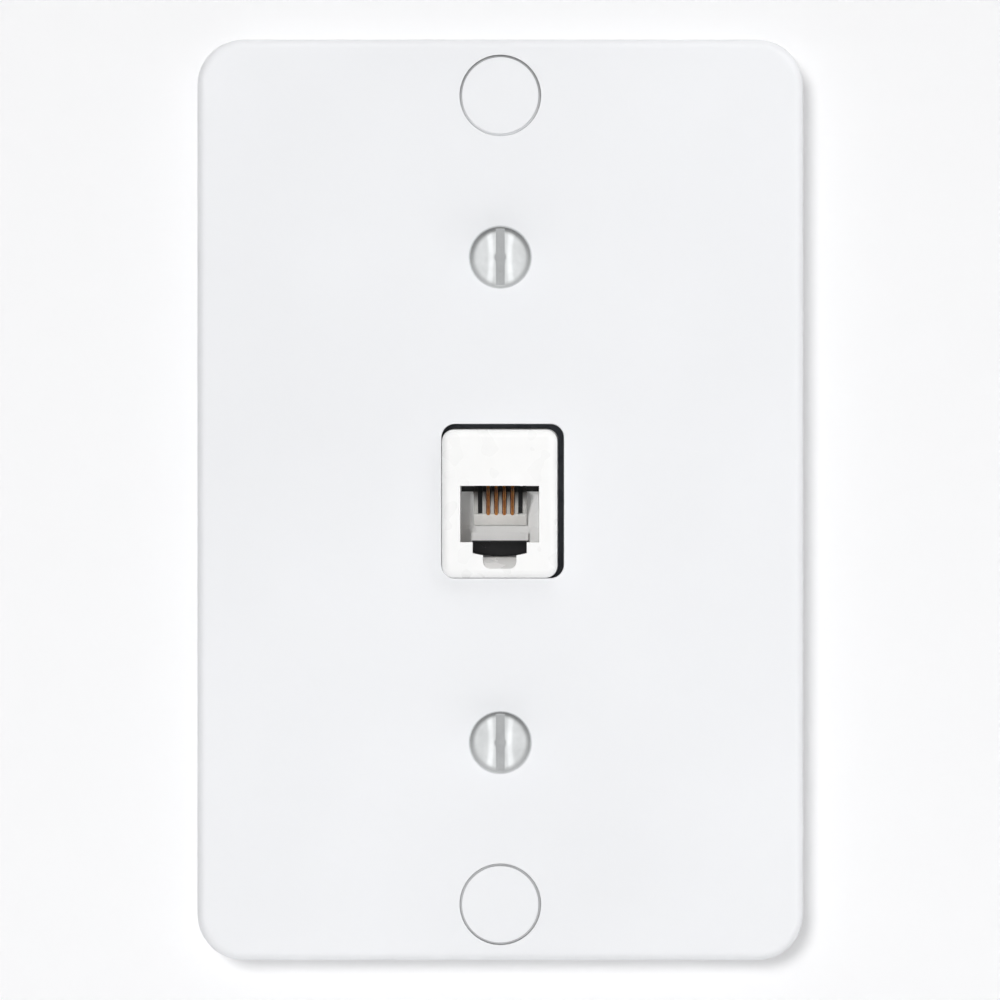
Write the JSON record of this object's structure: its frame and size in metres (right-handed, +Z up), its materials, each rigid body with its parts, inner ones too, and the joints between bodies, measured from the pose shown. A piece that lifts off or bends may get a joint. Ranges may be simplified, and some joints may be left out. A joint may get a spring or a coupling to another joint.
{
  "type": "telephone wall socket",
  "caption": "Flush wall plate with a modular telephone socket and studs that a wall telephone hangs on.",
  "frame": {"origin": "middle of the bracket, on the wall's surface, halfway between the box screws", "axes": "+X right and +Z up as seen from the room, -Y out of the wall into the room, +Y into the wall box"},
  "size_m": [0.0762, 0.0244, 0.1158],
  "materials": {
    "white_shell": "satin moulded white",
    "white_socket": "gloss moulded white",
    "white_comb": "moulded white",
    "grey_base": "moulded light grey",
    "zinc_steel": "bright zinc plate",
    "nickel_steel": "nickel plate, turned",
    "gold_contact": "gold flash on spring wire",
    "brass_screw": "turned brass",
    "tinned_lug": "tinned, pressed",
    "pvc_black": "extruded insulation",
    "pvc_red": "extruded insulation",
    "pvc_green": "extruded insulation",
    "pvc_yellow": "extruded insulation"
  },
  "bodies": {
    "root": {"faceplate": "white_shell", "screw_cap_top": "white_shell", "screw_cap_bottom": "white_shell", "mounting_bracket": "zinc_steel", "stud_top": "nickel_steel", "stud_bottom": "nickel_steel", "jack_housing": "white_socket", "contact_comb": "white_comb", "terminal_base": "grey_base", "base_screw_left": "zinc_steel", "base_screw_right": "zinc_steel", "contact_wire_1": "gold_contact", "contact_wire_2": "gold_contact", "contact_wire_3": "gold_contact", "contact_wire_4": "gold_contact", "terminal_screw_1": "brass_screw", "terminal_screw_2": "brass_screw", "terminal_screw_3": "brass_screw", "terminal_screw_4": "brass_screw", "clamp_washer_1": "zinc_steel", "clamp_washer_2": "zinc_steel", "clamp_washer_3": "zinc_steel", "clamp_washer_4": "zinc_steel", "spade_lug_1": "tinned_lug", "spade_lug_2": "tinned_lug", "spade_lug_3": "tinned_lug", "spade_lug_4": "tinned_lug", "lead_black": "pvc_black", "lead_red": "pvc_red", "lead_green": "pvc_green", "lead_yellow": "pvc_yellow"}
  },
  "joints": []
}
